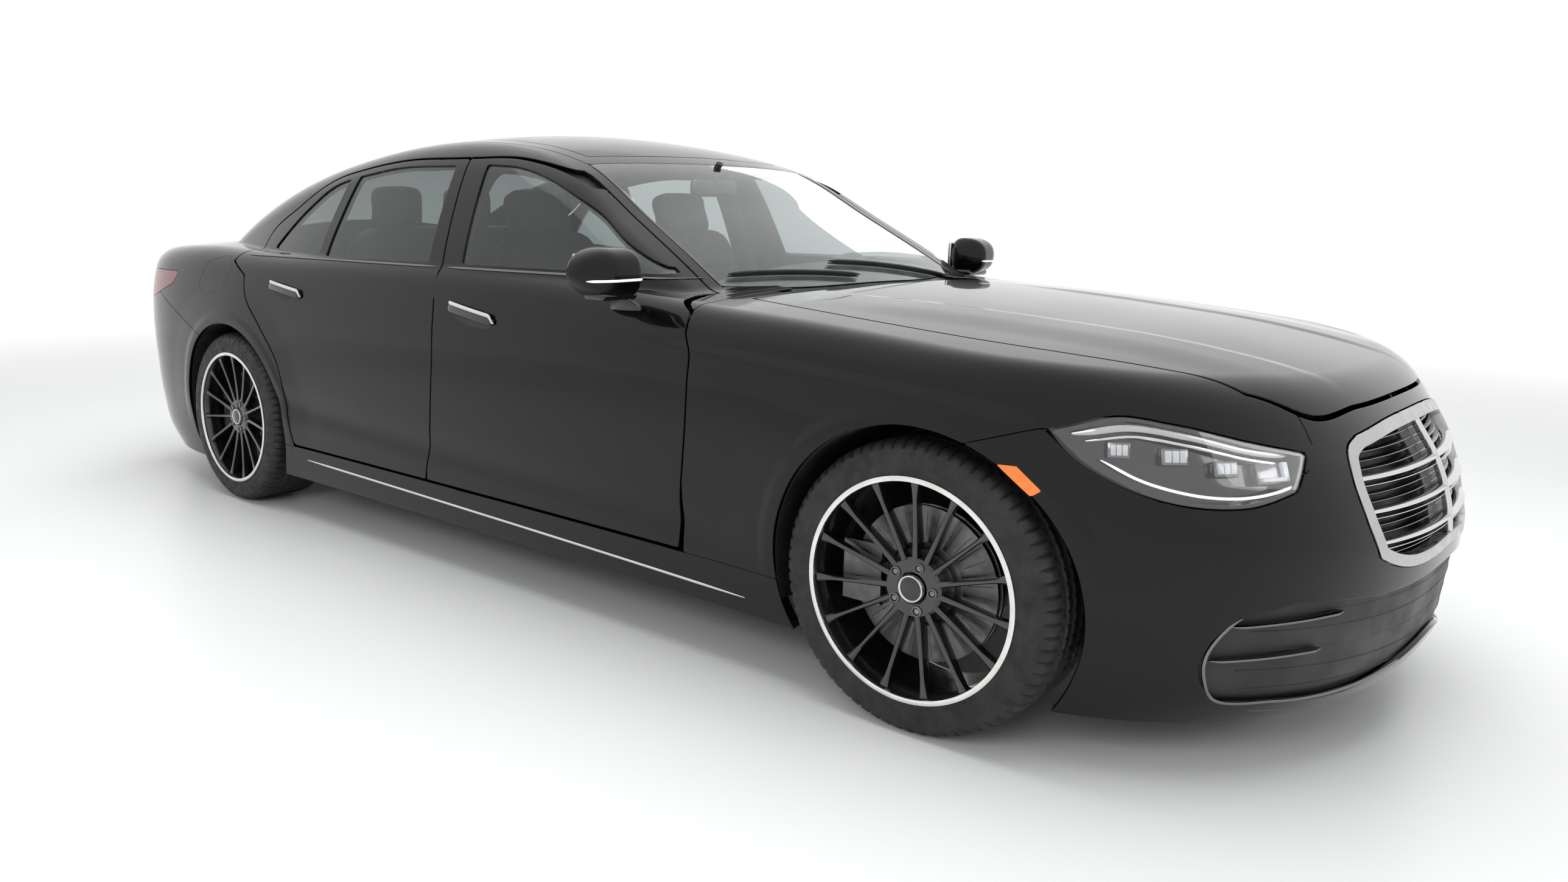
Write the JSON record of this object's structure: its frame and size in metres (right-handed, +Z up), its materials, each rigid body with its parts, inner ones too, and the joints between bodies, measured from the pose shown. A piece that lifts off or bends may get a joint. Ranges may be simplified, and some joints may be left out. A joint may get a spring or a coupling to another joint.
{
  "type": "four-door saloon car",
  "caption": "Large four-door saloon car with hinged doors, bonnet and boot lid, rolling and steering wheels and a hollow cabin.",
  "frame": {"origin": "on the ground, at the middle of the car's length and width", "axes": "+Z up, +Y towards the tail, +X towards the car's left side"},
  "size_m": [2.2442, 5.2888, 1.503],
  "materials": {
    "paint": "gloss black lacquer",
    "trim": "gloss black",
    "plastic": "grained black plastic",
    "chrome": "bright",
    "glass": "tinted",
    "lamp": "clear lens",
    "red_lamp": "red lens",
    "tyre": "moulded rubber",
    "wheel": "gloss black with a machined lip",
    "metal": "bare steel and alloy castings",
    "shell": "painted steel",
    "seat": "black leather"
  },
  "bodies": {
    "car_body": {"body_shell": "shell", "side_frames": "paint", "windscreen": "glass", "roof": "paint", "roof_glass": "glass", "rear_window": "glass", "front_wings": "paint", "rear_wings": "paint", "tail_panels": "paint", "front_bumper": "paint", "rear_bumper": "paint", "grille": "chrome", "lower_intake": "plastic", "headlamps": "lamp", "tail_lamps": "red_lamp", "side_skirts": "paint", "door_hinges": "metal", "arch_liners": "plastic", "front_suspension": "metal", "rear_suspension": "metal", "front_seats": "seat", "rear_seat": "seat", "dashboard": "plastic", "exhaust": "metal", "engine_block": "metal"},
    "bonnet": {"bonnet": "paint"},
    "boot_lid": {"boot_lid": "paint"},
    "steering_wheel": {"steering_wheel": "seat"},
    "front_left_door": {"front_door_left": "paint", "front_door_glass_left": "glass", "mirror_left": "trim"},
    "front_left_wheel": {"front_tyre_left": "tyre", "front_wheel_left": "wheel"},
    "rear_left_door": {"rear_door_left": "paint", "rear_door_glass_left": "glass"},
    "rear_left_wheel": {"rear_tyre_left": "tyre", "rear_wheel_left": "wheel"},
    "front_left_knuckle": {"front_knuckle_left": "metal"},
    "front_right_door": {"front_door_right": "paint", "front_door_glass_right": "glass", "mirror_right": "trim"},
    "front_right_wheel": {"front_tyre_right": "tyre", "front_wheel_right": "wheel"},
    "rear_right_door": {"rear_door_right": "paint", "rear_door_glass_right": "glass"},
    "rear_right_wheel": {"rear_tyre_right": "tyre", "rear_wheel_right": "wheel"},
    "front_right_knuckle": {"front_knuckle_right": "metal"}
  },
  "joints": [
    {"name": "front_left_door_hinge", "type": "hinge", "parent": "car_body", "child": "front_left_door", "pos_m": [0.92839, -0.99044, 0.6], "axis": [0, 0, -1], "range_deg": [0, 65]},
    {"name": "front_left_wheel_spin", "type": "hinge", "parent": "front_left_knuckle", "child": "front_left_wheel", "pos_m": [0.83, -1.7655, 0.356], "axis": [1, 0, 0], "continuous": true},
    {"name": "rear_left_door_hinge", "type": "hinge", "parent": "car_body", "child": "rear_left_door", "pos_m": [0.92976, 0.13837, 0.6], "axis": [0, 0, -1], "range_deg": [0, 65]},
    {"name": "rear_left_wheel_spin", "type": "hinge", "parent": "car_body", "child": "rear_left_wheel", "pos_m": [0.826, 1.4505, 0.354], "axis": [1, 0, 0], "continuous": true},
    {"name": "steer_left", "type": "hinge", "parent": "car_body", "child": "front_left_knuckle", "pos_m": [0.815, -1.7655, 0.356], "axis": [0, 0, 1], "range_deg": [-35, 35]},
    {"name": "front_right_door_hinge", "type": "hinge", "parent": "car_body", "child": "front_right_door", "pos_m": [-0.92839, -0.99044, 0.6], "axis": [0, 0, 1], "range_deg": [0, 65]},
    {"name": "front_right_wheel_spin", "type": "hinge", "parent": "front_right_knuckle", "child": "front_right_wheel", "pos_m": [-0.83, -1.7655, 0.356], "axis": [1, 0, 0], "continuous": true},
    {"name": "rear_right_door_hinge", "type": "hinge", "parent": "car_body", "child": "rear_right_door", "pos_m": [-0.92976, 0.13837, 0.6], "axis": [0, 0, 1], "range_deg": [0, 65]},
    {"name": "rear_right_wheel_spin", "type": "hinge", "parent": "car_body", "child": "rear_right_wheel", "pos_m": [-0.826, 1.4505, 0.354], "axis": [1, 0, 0], "continuous": true},
    {"name": "steer_right", "type": "hinge", "parent": "car_body", "child": "front_right_knuckle", "pos_m": [-0.815, -1.7655, 0.356], "axis": [0, 0, 1], "range_deg": [-35, 35]},
    {"name": "bonnet_hinge", "type": "hinge", "parent": "car_body", "child": "bonnet", "pos_m": [0, -1.14783, 0.97588], "axis": [-1, 0, 0], "range_deg": [0, 50]},
    {"name": "boot_lid_hinge", "type": "hinge", "parent": "car_body", "child": "boot_lid", "pos_m": [0, 1.95616, 1.05864], "axis": [1, 0, 0], "range_deg": [0, 75]},
    {"name": "steering_wheel_turn", "type": "hinge", "parent": "car_body", "child": "steering_wheel", "pos_m": [0.3908, -0.60774, 0.9018], "axis": [0, -0.9135, -0.4067], "range_deg": [-500, 500]}
  ],
  "couplings": [
    {"joint": "steer_right", "follows": "steer_left", "ratio": 1},
    {"joint": "steering_wheel_turn", "follows": "steer_left", "ratio": -14}
  ]
}
